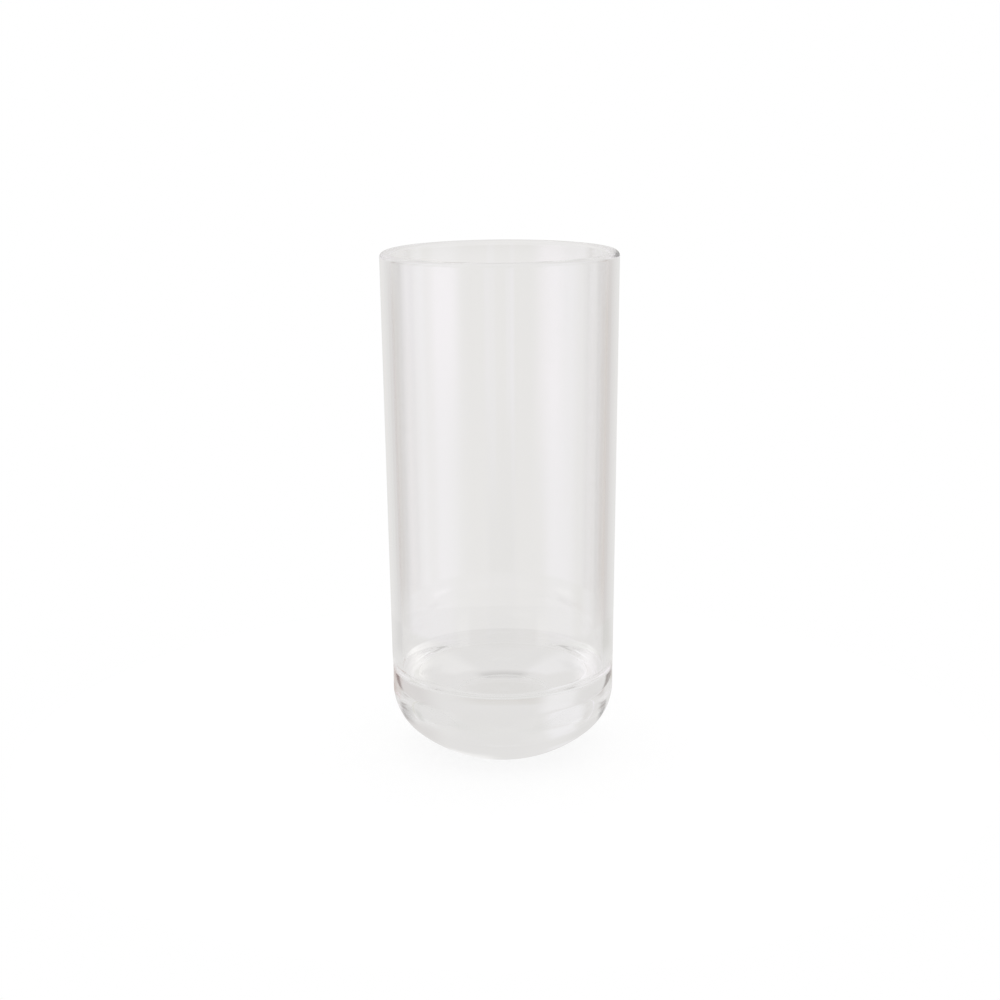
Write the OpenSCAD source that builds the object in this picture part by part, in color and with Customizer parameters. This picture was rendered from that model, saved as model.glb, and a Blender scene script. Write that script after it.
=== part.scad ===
// A tall drinking tumbler, moulded in one piece of clear plastic.
// A thick wall with a rounded lip stands on a deep solid base, which curves in to a small foot.
// The origin is the centre of the foot, on the table, and +Z points up through the mouth.

/* [Overall] */
// Height from the table to the top of the lip
height = 173; // [140:1:210]
// Diameter of the mouth, over the outside of the lip
mouth_d = 80; // [70:0.5:100]
// Draft of the outside wall, in degrees from upright
outside_draft = 0.65; // [0.2:0.05:1.6]

/* [Wall] */
// Wall thickness just below the lip
lip_wall = 3.6; // [2.4:0.1:6]
// Wall thickness level with the cup's floor
low_wall = 3.4; // [2.4:0.1:6]

/* [Base] */
// Height at which the wall starts to curve in towards the foot
heel_h = 22.5; // [14:0.5:34]
// Diameter of the foot, where the tumbler meets the table
foot_d = 36; // [24:0.5:50]
// Angle at which the base rises from the foot, in degrees above the table
foot_lift = 21; // [8:1:32]
// Thickness of the solid base, from the recess under it to the cup's floor
base_t = 27; // [14:0.1:40]

/* [Inside] */
// Radius of the curve between the cup's floor and its wall
floor_round = 4.2; // [2:0.1:12]

/* [Underside] */
// Depth of the recess in the underside
recess_h = 0.4; // [0.3:0.1:1.8]
// Width of the ring that touches the table
ring_w = 2; // [0.8:0.1:4]
// Radius of the curve from the recess's roof down to the ring
recess_round = 2; // [2:0.5:14]

/* [Hidden] */
$fn = 180;

// How far a cut runs past the face that it leaves
overrun = 2;
// How far each rounding circle reaches past the faces that it joins, so that they overlap
overlap = 0.001;

mouth_r = mouth_d / 2;
foot_r = foot_d / 2;
floor_h = recess_h + base_t;

// Lip: one circle as wide as the wall
lip_r = lip_wall / 2;
lip_mid = [mouth_r - lip_r, height - lip_r];

// Outside wall: a straight line that leaves the lip's circle at the draft angle
wall_up = [sin(outside_draft), cos(outside_draft)];
outside_top = lip_mid + lip_r * [cos(outside_draft), -sin(outside_draft)];
function outside_r(z) = outside_top[0] - (outside_top[1] - z) * tan(outside_draft);

// Inside wall: a line from the lip's circle to the low wall's thickness at the floor
low_r = outside_r(floor_h) - low_wall;
inside_draft = atan((mouth_r - lip_wall - low_r) / (height - lip_r - floor_h));
inside_top = lip_mid + lip_r * [-cos(inside_draft), sin(inside_draft)];
function inside_r(z) = inside_top[0] - (inside_top[1] - z) * tan(inside_draft);

// Curve between the cup's floor and wall: a circle that touches both
fillet_z = floor_h + floor_round;
fillet_mid = [inside_r(fillet_z) - floor_round / cos(inside_draft), fillet_z];
fillet_top = fillet_mid + floor_round * [cos(inside_draft), -sin(inside_draft)];

// Heel: two arcs that touch each other at heel_mid, from the foot's edge up to the wall
foot_edge = [foot_r, 0];
heel_top = [outside_r(heel_h), heel_h];
lift_dir = [cos(foot_lift), sin(foot_lift)];
heel_span = heel_top - foot_edge;
heel_turn = 1 - lift_dir * wall_up;
heel_along = heel_span * (lift_dir + wall_up);
heel_reach = (sqrt(heel_along ^ 2 + 2 * heel_turn * heel_span * heel_span) - heel_along) / (2 * heel_turn);
heel_mid = (foot_edge + heel_top + heel_reach * (lift_dir - wall_up)) / 2;
sole_centre = arc_centre(foot_edge, lift_dir, heel_mid);
heel_centre = arc_centre(heel_top, -wall_up, heel_mid);

// Recess: a flat roof, and a circle that leaves it level and comes down to the ring
recess_r = foot_r - ring_w;
recess_mid = [recess_r - sqrt(recess_round ^ 2 - (recess_round - recess_h) ^ 2), recess_h - recess_round];

// Centre of the arc that starts at point a, in direction dir, and ends at point b
function arc_centre(a, dir, b) =
    let (chord = b - a, turn = dir[0] * chord[1] - dir[1] * chord[0])
    a + [-dir[1], dir[0]] * (chord * chord) / (2 * turn);

// The quarter of the drawing that the tumbler can fill: out from the axis and up from the table
module above_table() {
    square([mouth_r, height]);
}

// The curved part of the outside, between the foot and the wall
module heel_profile() {
    intersection() {
        above_table();
        translate(heel_centre) circle(r = norm(heel_top - heel_centre) + overlap);
    }
    intersection() {
        above_table();
        translate(sole_centre) circle(r = norm(foot_edge - sole_centre));
        polygon([[0, 0], [heel_top[0], 0], heel_mid, heel_centre, [0, heel_h]]);
    }
}

// Half of the outside, filled in to the axis, up to the middle of the lip
module outside_profile() {
    polygon([[0, heel_h], heel_top, outside_top, [0, outside_top[1]]]);
    heel_profile();
}

// Half of the space that holds the drink
module inside_profile() {
    open_h = height + overrun;
    polygon([
        [0, floor_h], [fillet_mid[0], floor_h], fillet_mid, fillet_top,
        inside_top, [inside_top[0], open_h], [0, open_h]
    ]);
    translate(fillet_mid) circle(r = floor_round + overlap);
}

// Half of the shallow recess under the base
module recess_profile() {
    translate([0, -overrun]) square([recess_mid[0], overrun + recess_h]);
    intersection() {
        translate([0, -overrun]) square([foot_r, 2 * overrun]);
        translate(recess_mid) circle(r = recess_round + overlap);
    }
}

module tumbler() {
    color([0.86, 0.86, 0.88, 0.45])
    rotate_extrude() {
        difference() {
            outside_profile();
            inside_profile();
            recess_profile();
        }
        translate(lip_mid) circle(r = lip_r + overlap);
    }
}

tumbler();
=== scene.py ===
# Tall clear tumbler: its finish, light and camera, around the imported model
import bmesh
import bpy
import math
from mathutils import Matrix, Vector


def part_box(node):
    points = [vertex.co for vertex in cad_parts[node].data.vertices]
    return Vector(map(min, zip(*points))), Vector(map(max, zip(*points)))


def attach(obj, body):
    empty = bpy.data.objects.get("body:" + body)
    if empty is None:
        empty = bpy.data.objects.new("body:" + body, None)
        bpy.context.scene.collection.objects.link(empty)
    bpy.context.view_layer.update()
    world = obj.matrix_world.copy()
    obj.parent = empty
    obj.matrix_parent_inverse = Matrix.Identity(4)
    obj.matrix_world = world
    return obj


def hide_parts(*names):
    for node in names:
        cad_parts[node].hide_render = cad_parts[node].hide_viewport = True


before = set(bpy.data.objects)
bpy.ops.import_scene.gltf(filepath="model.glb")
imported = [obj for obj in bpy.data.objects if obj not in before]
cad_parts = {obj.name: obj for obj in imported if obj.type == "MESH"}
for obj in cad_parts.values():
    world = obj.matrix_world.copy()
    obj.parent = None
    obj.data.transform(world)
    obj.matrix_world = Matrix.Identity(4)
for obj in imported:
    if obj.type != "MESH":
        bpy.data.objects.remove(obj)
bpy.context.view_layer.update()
scene = bpy.context.scene
mm = 0.001   # in metres


# Camera: above the lip, looking down at the middle of the tumbler
cameraSet = {
    "distance": 620,      # mm from the tumbler's axis
    "height": 235.3,      # mm above the table
    "sideways": -0.5,     # mm to the right of the axis
    "pitch": 13.39,       # degrees below level
    "roll": -0.46,        # degrees, the picture leans this much
    "lens": 66.88,        # mm
    "sensor": 36,         # mm across the picture
    "nearest": 10,        # mm, nothing closer to the camera shows
}


def makeCamera(values):
    data = bpy.data.cameras.new("camera")
    data.sensor_width = values["sensor"]
    data.lens = values["lens"]
    data.clip_start = values["nearest"] * mm
    camera = bpy.data.objects.new("camera", data)
    scene.collection.objects.link(camera)
    tilt = Matrix.Rotation(math.radians(90 - values["pitch"]), 3, "X")
    lean = Matrix.Rotation(math.radians(values["roll"]), 3, "Z")
    camera.rotation_mode = "QUATERNION"
    camera.rotation_quaternion = (tilt @ lean).to_quaternion()
    camera.location = Vector((values["sideways"], -values["distance"], values["height"])) * mm
    scene.camera = camera


makeCamera(cameraSet)
print("camera placed")


# The tumbler's own sizes, in mm; its height and mouth come from the frame
tumblerSet = {
    "outsideDraft": 0.65,   # degrees from upright
    "lipWall": 3.6,
    "lowWall": 3.4,         # wall level with the cup's floor
    "heelHeight": 22.5,
    "footRadius": 18,
    "footLift": 21,         # degrees above the table
    "baseThickness": 27,
    "floorRound": 4.2,
    "recessDepth": 0.4,
    "ringWidth": 2,
    "recessRound": 2,
    "edgeSoftness": 0.1,    # how far the moulded edges of the foot are rounded
    "edgeSteps": 6,         # steps in the outline's curves: in each of those edges
    "recessSteps": 10,      # in the recess's round
    "heelSteps": 20,        # in each of the heel's two arcs
    "lipSteps": 22,         # in each half of the lip
    "floorSteps": 24,       # in the curve at the cup's floor
    "turns": 720,           # steps round the axis
}


def arcBetween(centre, start, end, steps):
    # points on the short arc from start to end, the first one left out
    radius = (start - centre).length
    first = math.atan2(start.y - centre.y, start.x - centre.x)
    sweep = math.atan2(end.y - centre.y, end.x - centre.x) - first
    sweep = (sweep + math.pi) % (2 * math.pi) - math.pi
    angles = [first + sweep * (i + 1) / steps for i in range(steps)]
    return [centre + radius * Vector((math.cos(a), math.sin(a))) for a in angles]


def arcCentre(start, direction, end):
    # centre of the arc that leaves start along direction and ends at end
    chord = end - start
    turn = direction.x * chord.y - direction.y * chord.x
    return start + Vector((-direction.y, direction.x)) * chord.length_squared / (2 * turn)


def roundCorner(before, corner, after, reach, steps):
    # a small curve in place of a corner
    a = corner + (before - corner).normalized() * reach
    b = corner + (after - corner).normalized() * reach
    ts = [i / steps for i in range(steps + 1)]
    return [a * (1 - t) ** 2 + corner * 2 * t * (1 - t) + b * t ** 2 for t in ts]


def tumblerProfile(values, height, mouthRadius):
    # half outline in mm, from the axis under the base round to the axis on the cup's floor
    draft = math.radians(values["outsideDraft"])
    up = Vector((math.sin(draft), math.cos(draft)))
    lipRadius = values["lipWall"] / 2
    lipMiddle = Vector((mouthRadius - lipRadius, height - lipRadius))
    lipTop = Vector((lipMiddle.x, height))
    outsideTop = lipMiddle + lipRadius * Vector((math.cos(draft), -math.sin(draft)))

    def outsideAt(z):
        return outsideTop.x - (outsideTop.y - z) * math.tan(draft)

    floorHeight = values["recessDepth"] + values["baseThickness"]
    lowInside = outsideAt(floorHeight) - values["lowWall"]
    run = mouthRadius - values["lipWall"] - lowInside
    insideDraft = math.atan(run / (height - lipRadius - floorHeight))
    insideOut = Vector((math.cos(insideDraft), -math.sin(insideDraft)))
    insideTop = lipMiddle - lipRadius * insideOut

    # curve between the wall and the cup's floor
    roundOff = values["floorRound"]
    filletHeight = floorHeight + roundOff
    insideThere = insideTop.x - (insideTop.y - filletHeight) * math.tan(insideDraft)
    filletMiddle = Vector((insideThere - roundOff / math.cos(insideDraft), filletHeight))
    filletTop = filletMiddle + roundOff * insideOut
    filletEnd = Vector((filletMiddle.x, floorHeight))

    # heel: two arcs that meet at heelMiddle
    footEdge = Vector((values["footRadius"], 0))
    heelTop = Vector((outsideAt(values["heelHeight"]), values["heelHeight"]))
    lift = math.radians(values["footLift"])
    away = Vector((math.cos(lift), math.sin(lift)))
    span = heelTop - footEdge
    turn = 1 - away.dot(up)
    along = span.dot(away + up)
    reach = (math.sqrt(along ** 2 + 2 * turn * span.length_squared) - along) / (2 * turn)
    heelMiddle = (footEdge + heelTop + reach * (away - up)) / 2
    soleCentre = arcCentre(footEdge, away, heelMiddle)
    heelCentre = arcCentre(heelTop, -up, heelMiddle)

    # recess under the base
    recessRadius = values["footRadius"] - values["ringWidth"]
    rise = values["recessRound"] - values["recessDepth"]
    recessFlat = recessRadius - math.sqrt(values["recessRound"] ** 2 - rise ** 2)
    recessCentre = Vector((recessFlat, -rise))
    recessStart = Vector((recessFlat, values["recessDepth"]))
    recessEdge = Vector((recessRadius, 0))

    # the outline itself, with the two edges of the foot softened
    recessArc = arcBetween(recessCentre, recessStart, recessEdge, values["recessSteps"])
    soleArc = arcBetween(soleCentre, footEdge, heelMiddle, values["heelSteps"])
    soft = values["edgeSoftness"]
    points = [Vector((0, values["recessDepth"])), recessStart]
    points += [p for p in recessArc if (p - recessEdge).length > soft]
    points += roundCorner(recessArc[-2], recessEdge, footEdge, soft, values["edgeSteps"])
    points += roundCorner(recessEdge, footEdge, soleArc[0], soft, values["edgeSteps"])
    points += [p for p in soleArc if (p - footEdge).length > soft]
    points += arcBetween(heelCentre, heelMiddle, heelTop, values["heelSteps"])
    points += [outsideTop]
    points += arcBetween(lipMiddle, outsideTop, lipTop, values["lipSteps"])
    points += arcBetween(lipMiddle, lipTop, insideTop, values["lipSteps"])
    points += [filletTop]
    points += arcBetween(filletMiddle, filletTop, filletEnd, values["floorSteps"])
    points += [Vector((0, floorHeight))]
    return points


def profileNormals(points):
    # outward normals: a straight run keeps its own, a curve takes the mean of its two sides
    straight = 5   # a side this many times as long as its neighbour is a straight run
    sides = [(b - a) for a, b in zip(points, points[1:])]
    normals = []
    for i in range(len(points)):
        near = sides[max(i - 1, 0)]
        far = sides[min(i, len(sides) - 1)]
        if near.length > straight * far.length:
            along = near.normalized()
        elif far.length > straight * near.length:
            along = far.normalized()
        else:
            along = near.normalized() * far.length + far.normalized() * near.length
        normals.append(Vector((along.y, -along.x)).normalized())
    return normals


def latheMesh(name, points, turns):
    # turns the half outline round the axis, with exact normals
    mesh = bpy.data.meshes.new(name)
    shape = bmesh.new()
    normals = profileNormals(points)
    rings, vertexNormals = [], []
    for point, normal in zip(points, normals):
        steps = turns if point.x > 0 else 1
        ring = []
        for k in range(steps):
            angle = 2 * math.pi * k / turns
            c, s = math.cos(angle), math.sin(angle)
            ring.append(shape.verts.new((point.x * c * mm, point.x * s * mm, point.y * mm)))
            vertexNormals.append((normal.x * c, normal.x * s, normal.y))
        rings.append(ring)
    for low, high in zip(rings, rings[1:]):
        for k in range(turns):
            corners = [low[k % len(low)], low[(k + 1) % len(low)],
                       high[(k + 1) % len(high)], high[k % len(high)]]
            # on the axis two corners are one, and the face is a triangle
            shape.faces.new(dict.fromkeys(corners)).smooth = True
    shape.to_mesh(mesh)
    shape.free()
    mesh.normals_split_custom_set_from_vertices(vertexNormals)
    return mesh


lowCorner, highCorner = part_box("tumbler")
outline = tumblerProfile(tumblerSet, (highCorner.z - lowCorner.z) / mm, highCorner.x / mm)
tumblerMesh = latheMesh("tumblerBody", outline, tumblerSet["turns"])
tumbler = bpy.data.objects.new("tumblerBody", tumblerMesh)
scene.collection.objects.link(tumbler)
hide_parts("tumbler")
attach(tumbler, "root")
print("tumbler turned:", len(outline), "points in its outline")


def giveSocket(tree, socket, value):
    # links another node's output to the socket, or sets a plain value on it
    if isinstance(value, bpy.types.NodeSocket):
        tree.links.new(value, socket)
    else:
        socket.default_value = value


def addNode(tree, kind, group=None, **inputs):
    # a shader node with its inputs given by name, or by number as i0, i1 and so on
    node = tree.nodes.new(kind)
    if group:
        node.node_tree = group
    for name, value in inputs.items():
        numbered = name[0] == "i" and name[1:].isdigit()
        giveSocket(tree, node.inputs[int(name[1:]) if numbered else name], value)
    return node


def mathOf(tree, operation, a, b=0.0):
    node = addNode(tree, "ShaderNodeMath", i0=a, i1=b)
    node.operation = operation
    return node.outputs[0]


def smoothStep(tree, value, start, end):
    # 0 before start and 1 past end; start may be the larger one
    node = addNode(tree, "ShaderNodeMapRange", i0=value, i1=start, i2=end)
    node.interpolation_type = "SMOOTHSTEP"
    return node.outputs[0]


def colourMix(tree, factor, first, second):
    # a Mix node has its colours on inputs 6 and 7, and the mixed colour on output 2
    mix = addNode(tree, "ShaderNodeMix")
    mix.data_type = "RGBA"
    giveSocket(tree, mix.inputs["Factor"], factor)
    giveSocket(tree, mix.inputs[6], first)
    giveSocket(tree, mix.inputs[7], second)
    return mix.outputs[2]


def noiseOf(tree, place, scale, detail):
    return addNode(tree, "ShaderNodeTexNoise", Vector=place, Scale=scale, Detail=detail).outputs[0]


# Clear plastic: polished, with the faint draw lines of the mould up the wall and a scuffed foot;
# each noise is its scale, per metre unless a note says otherwise, and its detail
plasticSet = {
    "tint": (0.998, 0.998, 0.998, 1),
    "cloudTint": (0.996, 0.997, 0.998, 1),   # where the plastic is a touch denser
    "cloudNoise": (45, 2),
    "cloudEdge": (0.4, 0.7),      # a cloud fades in between these levels of its noise
    "ior": 1.49,
    "drawNoise": (7, 2),          # its scale is per radian round the wall
    "drawStretch": 2.2,           # times that scale, per metre up the wall
    "drawDepth": 0.009,           # mm
    "drawLow": (30, 60),          # mm, they fade in over this height
    "drawHigh": (172, 150),       # mm, they fade out over this height
    "polish": 0.0,                # roughness of the clean surface
    "handling": 0.012,            # roughness of the hairline marks left by handling
    "markNoise": (160, 5),
    "markEdge": (0.55, 0.75),     # a mark fades in between these levels of its noise
    "lipWear": 0.05,              # roughness of the fine wear on the lip
    "lipWorn": (168, 171.5),      # mm, it grows over this height
    "scuff": 0.08,                # roughness of the scuffs on the foot
    "scuffNoise": (1400, 3),      # the wear on the lip has it too
    "scuffed": (0.5, 0.125),      # mm, the scuffs grow over this height, downwards
}


def clearPlastic(values):
    material = bpy.data.materials.new("clearPlastic")
    material.use_nodes = True
    tree = material.node_tree
    shader = tree.nodes["Principled BSDF"]
    place = addNode(tree, "ShaderNodeTexCoord").outputs["Object"]
    x, y, z = addNode(tree, "ShaderNodeSeparateXYZ", Vector=place).outputs
    level = mathOf(tree, "DIVIDE", z, mm)

    # denser clouds
    cloud = smoothStep(tree, noiseOf(tree, place, *values["cloudNoise"]), *values["cloudEdge"])
    tint = colourMix(tree, cloud, values["tint"], values["cloudTint"])

    # draw lines: quick changes round the wall, slow ones up it
    flat = addNode(tree, "ShaderNodeCombineXYZ", X=x, Y=y).outputs[0]
    outward = addNode(tree, "ShaderNodeVectorMath", i0=flat)
    outward.operation = "NORMALIZE"
    aside, ahead, _ = addNode(tree, "ShaderNodeSeparateXYZ", Vector=outward.outputs[0]).outputs
    up = mathOf(tree, "MULTIPLY", z, values["drawStretch"])
    flow = addNode(tree, "ShaderNodeCombineXYZ", X=aside, Y=ahead, Z=up).outputs[0]
    lines = noiseOf(tree, flow, *values["drawNoise"])
    onWall = mathOf(tree, "MULTIPLY", smoothStep(tree, level, *values["drawLow"]),
                    smoothStep(tree, level, *values["drawHigh"]))
    bump = addNode(tree, "ShaderNodeBump", Strength=1, Distance=values["drawDepth"] * mm,
                   Height=mathOf(tree, "MULTIPLY", lines, onWall))

    # hairline handling marks all over
    marks = smoothStep(tree, noiseOf(tree, place, *values["markNoise"]), *values["markEdge"])
    rough = mathOf(tree, "MULTIPLY", marks, values["handling"])

    # fine wear on the lip, and scuffs where the foot meets the table
    scuffs = noiseOf(tree, place, *values["scuffNoise"])
    onLip = mathOf(tree, "MULTIPLY", smoothStep(tree, level, *values["lipWorn"]), values["lipWear"])
    onFoot = mathOf(tree, "MULTIPLY", smoothStep(tree, level, *values["scuffed"]), values["scuff"])
    worn = mathOf(tree, "MULTIPLY", mathOf(tree, "ADD", onLip, onFoot), scuffs)
    rough = mathOf(tree, "ADD", mathOf(tree, "ADD", rough, values["polish"]), worn)

    tree.links.new(tint, shader.inputs["Base Color"])
    tree.links.new(rough, shader.inputs["Roughness"])
    tree.links.new(bump.outputs[0], shader.inputs["Normal"])
    shader.inputs["IOR"].default_value = values["ior"]
    shader.inputs["Transmission Weight"].default_value = 1
    return material


tumbler.data.materials.append(clearPlastic(plasticSet))
print("plastic made")


def makeSoftZone():
    # a node group that lays one soft-edged zone over the colour Under; Around is this place in
    # degrees round the axis, and At and Half are the zone's middle and half width there; Low and
    # High are its limits on Across; each edge is spread over Soft or Rise
    group = bpy.data.node_groups.new("softZone", "ShaderNodeTree")
    for name in ("Under", "Colour"):
        group.interface.new_socket(name, in_out="INPUT", socket_type="NodeSocketColor")
    for name in ("Around", "Across", "At", "Half", "Soft", "Low", "High", "Rise"):
        group.interface.new_socket(name, in_out="INPUT", socket_type="NodeSocketFloat")
    group.interface.new_socket("Result", in_out="OUTPUT", socket_type="NodeSocketColor")
    given = addNode(group, "NodeGroupInput").outputs

    def edge(value, limit, spread, way):
        # goes from 0 to 1 at the limit where way is 1, and from 1 to 0 where it is -1
        reach = mathOf(group, "MULTIPLY", given[spread], way / 2)
        start = mathOf(group, "SUBTRACT", given[limit], reach)
        end = mathOf(group, "ADD", given[limit], reach)
        return smoothStep(group, value, start, end)

    # degrees between this place and the middle of the zone, the short way round
    apart = mathOf(group, "ABSOLUTE", mathOf(group, "SUBTRACT", given["Around"], given["At"]))
    apart = mathOf(group, "MINIMUM", apart, mathOf(group, "SUBTRACT", 360, apart))
    mask = mathOf(group, "MULTIPLY", edge(given["Across"], "Low", "Rise", 1),
                  edge(given["Across"], "High", "Rise", -1))
    mask = mathOf(group, "MULTIPLY", edge(apart, "Half", "Soft", -1), mask)
    result = colourMix(group, mask, given["Under"], given["Colour"])
    addNode(group, "NodeGroupOutput", Result=result)
    return group


softZone = makeSoftZone()


def paintZones(tree, base, x, y, across, zones):
    # lays the zones over the base colour in their order; at is degrees round from the camera's
    # side, to the right
    around = mathOf(tree, "ARCTAN2", x, mathOf(tree, "MULTIPLY", y, -1))
    around = mathOf(tree, "DEGREES", around)
    colour = addNode(tree, "ShaderNodeRGB").outputs[0]
    colour.default_value = (*base, 1)
    for zone in zones:
        painted = addNode(tree, "ShaderNodeGroup", softZone, Under=colour, Around=around,
                          Across=across, At=zone["at"], Half=zone["half"], Soft=zone["soft"],
                          Low=zone["low"], High=zone["high"], Rise=zone["rise"],
                          Colour=(*zone["colour"], 1))
        painted.label = zone["name"]
        colour = painted.outputs[0]
    return colour


def byPlastic(tree, path):
    # 1 for light that reaches the eye by way of the plastic
    return mathOf(tree, "ADD", path["Is Glossy Ray"], path["Is Transmission Ray"])


# Table top: pale, round and matt; its zones are painted light and shade on the table, which only
# the plastic shows, where low and high are mm from the middle
floorSet = {
    "radius": 170,            # mm
    "segments": 96,
    "colour": (0.2, 0.2, 0.2, 1),
    "cameraLift": 0.86,       # added where the camera sees it, so that it is white
    "shown": (0.76, 0.75, 0.74),
    "zones": [
        # painted shade under the foot, darker than the rest of the table's glow
        {"name": "under the foot", "at": 0, "half": 200, "low": -1, "high": 12,
         "soft": 1, "rise": 11, "colour": (0.7, 0.69, 0.67)},
        # painted shadows of the tumbler on the table, either side of its foot
        {"name": "left shade", "at": -96, "half": 13, "low": 43, "high": 69,
         "soft": 14, "rise": 10, "colour": (0.02, 0.02, 0.02)},
        {"name": "right shade", "at": 104, "half": 8, "low": 43, "high": 67,
         "soft": 10, "rise": 10, "colour": (0.02, 0.02, 0.02)},
        # painted light on the table in front of the tumbler
        {"name": "front light", "at": 0, "half": 57, "low": 60, "high": 148,
         "soft": 30, "rise": 20, "colour": (0.85, 0.82, 0.83)},
        {"name": "front glow", "at": -35, "half": 25, "low": 18, "high": 24,
         "soft": 20, "rise": 4, "colour": (0.98, 0.97, 0.96)},
        # painted pools of light on the table to the left and right, brighter than white
        {"name": "left pool of light", "at": -87, "half": 11, "low": 115, "high": 150,
         "soft": 17, "rise": 18, "colour": (1.62, 1.58, 1.52)},
        {"name": "right pool of light", "at": 85, "half": 12, "low": 112, "high": 150,
         "soft": 15, "rise": 18, "colour": (1.6, 1.55, 1.6)},
        # painted shade on the table close behind the foot
        {"name": "back of the foot", "at": 180, "half": 28, "low": 14, "high": 20,
         "soft": 18, "rise": 6, "colour": (0.58, 0.57, 0.56)},
        # painted shade on the table further out, behind on the left and right
        {"name": "left far shade", "at": -124, "half": 14, "low": 72, "high": 106,
         "soft": 6, "rise": 10, "colour": (0.46, 0.34, 0.29)},
        {"name": "right far shade", "at": 143, "half": 14, "low": 87, "high": 107,
         "soft": 10, "rise": 11, "colour": (0.51, 0.47, 0.43)},
        # painted light on the table behind the tumbler, far off and close to the foot
        {"name": "left far light", "at": -149, "half": 8, "low": 55, "high": 110,
         "soft": 10, "rise": 10, "colour": (0.95, 0.94, 0.93)},
        {"name": "right far light", "at": 150, "half": 8, "low": 55, "high": 112,
         "soft": 10, "rise": 10, "colour": (0.85, 0.85, 0.83)},
        {"name": "left near light", "at": -146, "half": 11, "low": 24, "high": 43,
         "soft": 11, "rise": 5, "colour": (0.83, 0.82, 0.81)},
        {"name": "right near light", "at": 146, "half": 11, "low": 22, "high": 42,
         "soft": 10, "rise": 5, "colour": (0.83, 0.82, 0.82)},
        # near the table's edge: painted light at the back, painted shade towards the back on either
        # side
        {"name": "far edge", "at": 180, "half": 24, "low": 126, "high": 200,
         "soft": 20, "rise": 24, "colour": (0.81, 0.8, 0.79)},
        {"name": "left far side", "at": -127, "half": 10, "low": 131, "high": 200,
         "soft": 12, "rise": 20, "colour": (0.69, 0.68, 0.67)},
        {"name": "right far side", "at": 128, "half": 13, "low": 130, "high": 200,
         "soft": 12, "rise": 20, "colour": (0.67, 0.66, 0.64)},
    ],
}


def makeFloor(values):
    mesh = bpy.data.meshes.new("floor")
    shape = bmesh.new()
    bmesh.ops.create_circle(shape, cap_ends=True, segments=values["segments"],
                            radius=values["radius"] * mm)
    shape.to_mesh(mesh)
    shape.free()
    floor = bpy.data.objects.new("floor", mesh)
    scene.collection.objects.link(floor)
    material = bpy.data.materials.new("paleFloor")
    material.use_nodes = True
    tree = material.node_tree
    tree.nodes.clear()
    path = addNode(tree, "ShaderNodeLightPath").outputs

    # what the camera and matt light see
    lift = mathOf(tree, "MULTIPLY", path["Is Camera Ray"], values["cameraLift"])
    matt = addNode(tree, "ShaderNodeBsdfDiffuse", Color=values["colour"]).outputs[0]
    glow = addNode(tree, "ShaderNodeEmission", Strength=lift).outputs[0]
    plain = addNode(tree, "ShaderNodeAddShader", i0=matt, i1=glow).outputs[0]

    # what the plastic shows: the table glowing with its painted light and shade
    place = addNode(tree, "ShaderNodeTexCoord").outputs["Object"]
    x, y, _ = addNode(tree, "ShaderNodeSeparateXYZ", Vector=place).outputs
    length = addNode(tree, "ShaderNodeVectorMath", i0=place)
    length.operation = "LENGTH"
    across = mathOf(tree, "DIVIDE", length.outputs["Value"], mm)
    shown = paintZones(tree, values["shown"], x, y, across, values["zones"])
    shown = addNode(tree, "ShaderNodeEmission", Color=shown, Strength=1).outputs[0]

    surface = addNode(tree, "ShaderNodeMixShader", Fac=byPlastic(tree, path), i1=plain, i2=shown)
    addNode(tree, "ShaderNodeOutputMaterial", Surface=surface.outputs[0])
    mesh.materials.append(material)


makeFloor(floorSet)
print("floor laid")


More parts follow.
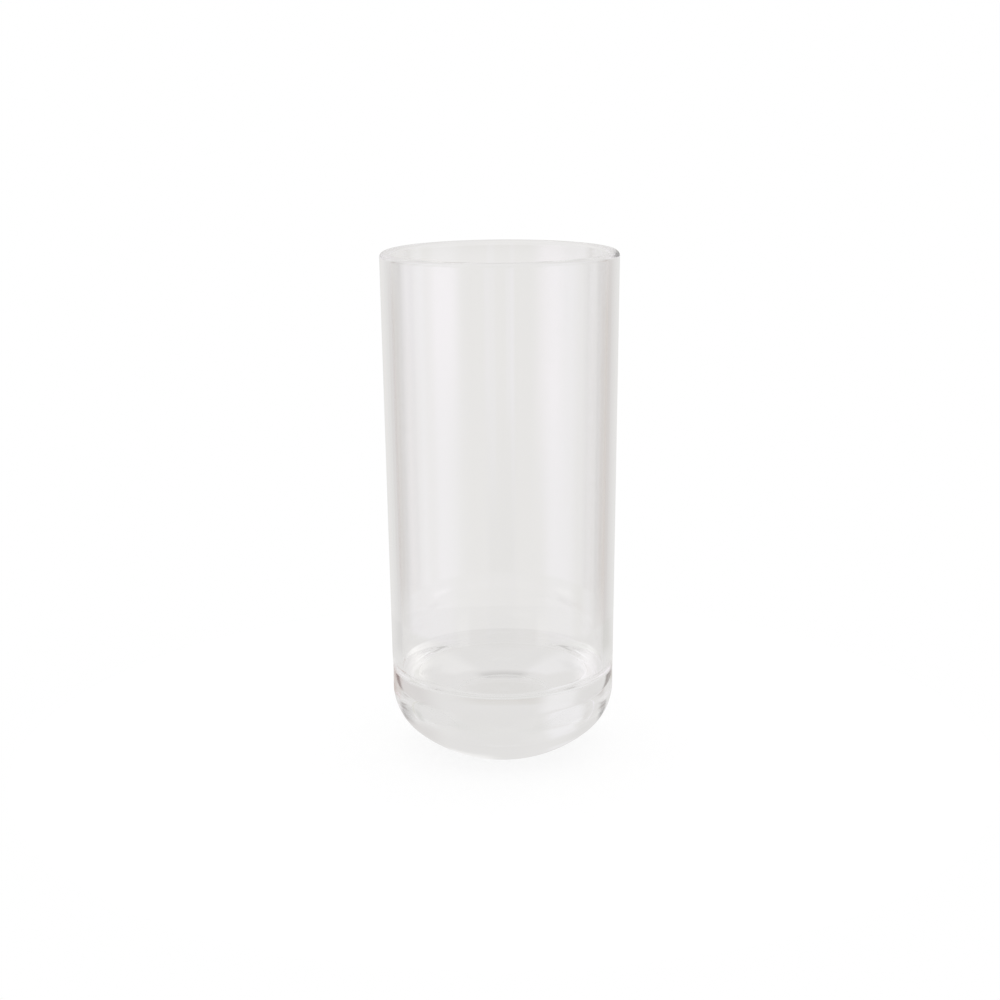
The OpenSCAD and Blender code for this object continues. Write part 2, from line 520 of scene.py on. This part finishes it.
# Studio: a pale room, with backdrop, soft lights and darker stands placed round it by direction,
# where low and high are degrees above level
studioSet = {
    "room": (0.76, 0.75, 0.74),
    "white": (1, 1, 1, 1),
    "diffuse": 0.8,           # light on matt things
    "cameraWhite": 1.0,       # what the camera sees behind the tumbler
    "bounces": 1024,          # light runs round inside the lip many times before it leaves
    "zones": [
        {"name": "ceiling", "at": 0, "half": 200, "low": 61, "high": 95,
         "soft": 1, "rise": 18, "colour": (0.7, 0.7, 0.68)},
        {"name": "upper wall", "at": 189, "half": 76, "low": 19, "high": 60,
         "soft": 30, "rise": 8, "colour": (0.79, 0.78, 0.77)},
        {"name": "backdrop", "at": 184, "half": 14, "low": -50, "high": -5,
         "soft": 26, "rise": 2, "colour": (0.83, 0.82, 0.81)},
        {"name": "backdrop seam", "at": 180, "half": 12, "low": -5, "high": 3,
         "soft": 16, "rise": 2, "colour": (0.66, 0.64, 0.61)},
        {"name": "backdrop top", "at": 174, "half": 16, "low": 0, "high": 26,
         "soft": 15, "rise": 12, "colour": (0.76, 0.75, 0.74)},
        {"name": "left glow", "at": -158, "half": 8, "low": -5, "high": 16,
         "soft": 8, "rise": 6, "colour": (0.84, 0.83, 0.83)},
        {"name": "right shade", "at": 140, "half": 10, "low": -24, "high": 22,
         "soft": 16, "rise": 15, "colour": (0.68, 0.66, 0.65)},
        {"name": "left stand", "at": -124, "half": 24, "low": -24, "high": 22,
         "soft": 18, "rise": 9, "colour": (0.73, 0.72, 0.71)},
        {"name": "left card", "at": -115.5, "half": 7, "low": -17, "high": 11.5,
         "soft": 5, "rise": 3, "colour": (0.13, 0.1, 0.085)},
        {"name": "left softbox", "at": -80, "half": 30, "low": -28, "high": -1,
         "soft": 20, "rise": 7, "colour": (1.1, 1.05, 1.18)},
        {"name": "left softbox core", "at": -58, "half": 15, "low": -11, "high": 8,
         "soft": 18, "rise": 6, "colour": (1.55, 1.4, 1.62)},
        {"name": "camera side", "at": 6, "half": 38, "low": -30, "high": 12,
         "soft": 12, "rise": 4, "colour": (0.7, 0.68, 0.65)},
        {"name": "left gap", "at": -13.5, "half": 2, "low": -30, "high": 9,
         "soft": 3, "rise": 4, "colour": (0.87, 0.82, 0.92)},
        {"name": "right gap", "at": 9.5, "half": 4, "low": -30, "high": 9,
         "soft": 3, "rise": 4, "colour": (0.88, 0.85, 0.94)},
        {"name": "right softbox", "at": 76, "half": 28, "low": -26, "high": 8,
         "soft": 13, "rise": 6, "colour": (1.04, 1.02, 1.08)},
        {"name": "right lamp stand", "at": 87, "half": 8, "low": -19, "high": 15,
         "soft": 7, "rise": 4, "colour": (0.7, 0.69, 0.63)},
        {"name": "right stand", "at": 120, "half": 14, "low": -18, "high": 20,
         "soft": 12, "rise": 3, "colour": (0.66, 0.63, 0.62)},
        {"name": "right card", "at": 118.5, "half": 4, "low": -17, "high": 11.5,
         "soft": 5, "rise": 3, "colour": (0.19, 0.15, 0.15)},
        {"name": "high lamp", "at": 2, "half": 16, "low": 25, "high": 42,
         "soft": 4, "rise": 5, "colour": (1.09, 1.1, 1.11)},
        {"name": "left high shade", "at": -57.5, "half": 2.5, "low": 20, "high": 34,
         "soft": 3, "rise": 5, "colour": (0.54, 0.48, 0.43)},
        {"name": "right high shade", "at": 53, "half": 7, "low": 24, "high": 27,
         "soft": 6, "rise": 3, "colour": (0.58, 0.51, 0.47)},
        {"name": "left lamp arm", "at": -41, "half": 6, "low": 19, "high": 27,
         "soft": 6, "rise": 4, "colour": (0.55, 0.52, 0.51)},
        {"name": "right lamp arm", "at": 41, "half": 6, "low": 19, "high": 27,
         "soft": 6, "rise": 4, "colour": (0.55, 0.52, 0.51)},
        {"name": "left high wall", "at": -102, "half": 42, "low": 31, "high": 63,
         "soft": 21, "rise": 12, "colour": (0.87, 0.86, 0.87)},
        {"name": "left wall gap", "at": -80, "half": 7, "low": 19, "high": 27,
         "soft": 8, "rise": 5, "colour": (0.73, 0.71, 0.7)},
        {"name": "right wall gap", "at": 81, "half": 7, "low": 18, "high": 28,
         "soft": 8, "rise": 5, "colour": (0.65, 0.65, 0.63)},
        {"name": "left low lamp", "at": -41, "half": 6, "low": -19.3, "high": -18.3,
         "soft": 2, "rise": 2, "colour": (1.3, 1.29, 1.27)},
        {"name": "right low lamp", "at": 42, "half": 6, "low": -19.3, "high": -18.3,
         "soft": 2, "rise": 2, "colour": (1.3, 1.28, 1.26)},
        {"name": "left stand foot", "at": -128, "half": 8, "low": -17, "high": -7,
         "soft": 6, "rise": 3, "colour": (0.54, 0.49, 0.47)},
        {"name": "right stand foot", "at": 128, "half": 7, "low": -17, "high": -7,
         "soft": 6, "rise": 3, "colour": (0.53, 0.46, 0.41)},
        {"name": "camera stand", "at": 0, "half": 15, "low": -22, "high": -12,
         "soft": 8, "rise": 3, "colour": (0.55, 0.54, 0.51)},
        {"name": "left softbox foot", "at": -94, "half": 14, "low": -18, "high": -10,
         "soft": 10, "rise": 4, "colour": (0.94, 0.91, 0.98)},
        {"name": "upper left", "at": -152, "half": 8, "low": 20, "high": 28,
         "soft": 8, "rise": 3, "colour": (0.86, 0.85, 0.86)},
    ],
}


def makeStudio(values):
    world = bpy.data.worlds.new("studio")
    scene.world = world
    world.use_nodes = True
    tree = world.node_tree
    tree.nodes.clear()
    path = addNode(tree, "ShaderNodeLightPath").outputs

    def background(colour, strength):
        return addNode(tree, "ShaderNodeBackground", Color=colour, Strength=strength).outputs[0]

    # matt things get even light, the plastic shows the room, and the camera sees white
    direction = addNode(tree, "ShaderNodeTexCoord").outputs["Generated"]
    x, y, z = addNode(tree, "ShaderNodeSeparateXYZ", Vector=direction).outputs
    level = mathOf(tree, "DEGREES", mathOf(tree, "ARCSINE", z))
    room = paintZones(tree, values["room"], x, y, level, values["zones"])
    light = addNode(tree, "ShaderNodeMixShader", Fac=byPlastic(tree, path),
                    i1=background(values["white"], values["diffuse"]), i2=background(room, 1))
    light = addNode(tree, "ShaderNodeMixShader", Fac=path["Is Camera Ray"], i1=light.outputs[0],
                    i2=background(values["white"], values["cameraWhite"]))
    addNode(tree, "ShaderNodeOutputWorld", Surface=light.outputs[0])

    for kind in ("max_bounces", "transmission_bounces", "glossy_bounces"):
        setattr(scene.cycles, kind, values["bounces"])
    scene.view_settings.view_transform = "Standard"


makeStudio(studioSet)
print("studio lit")
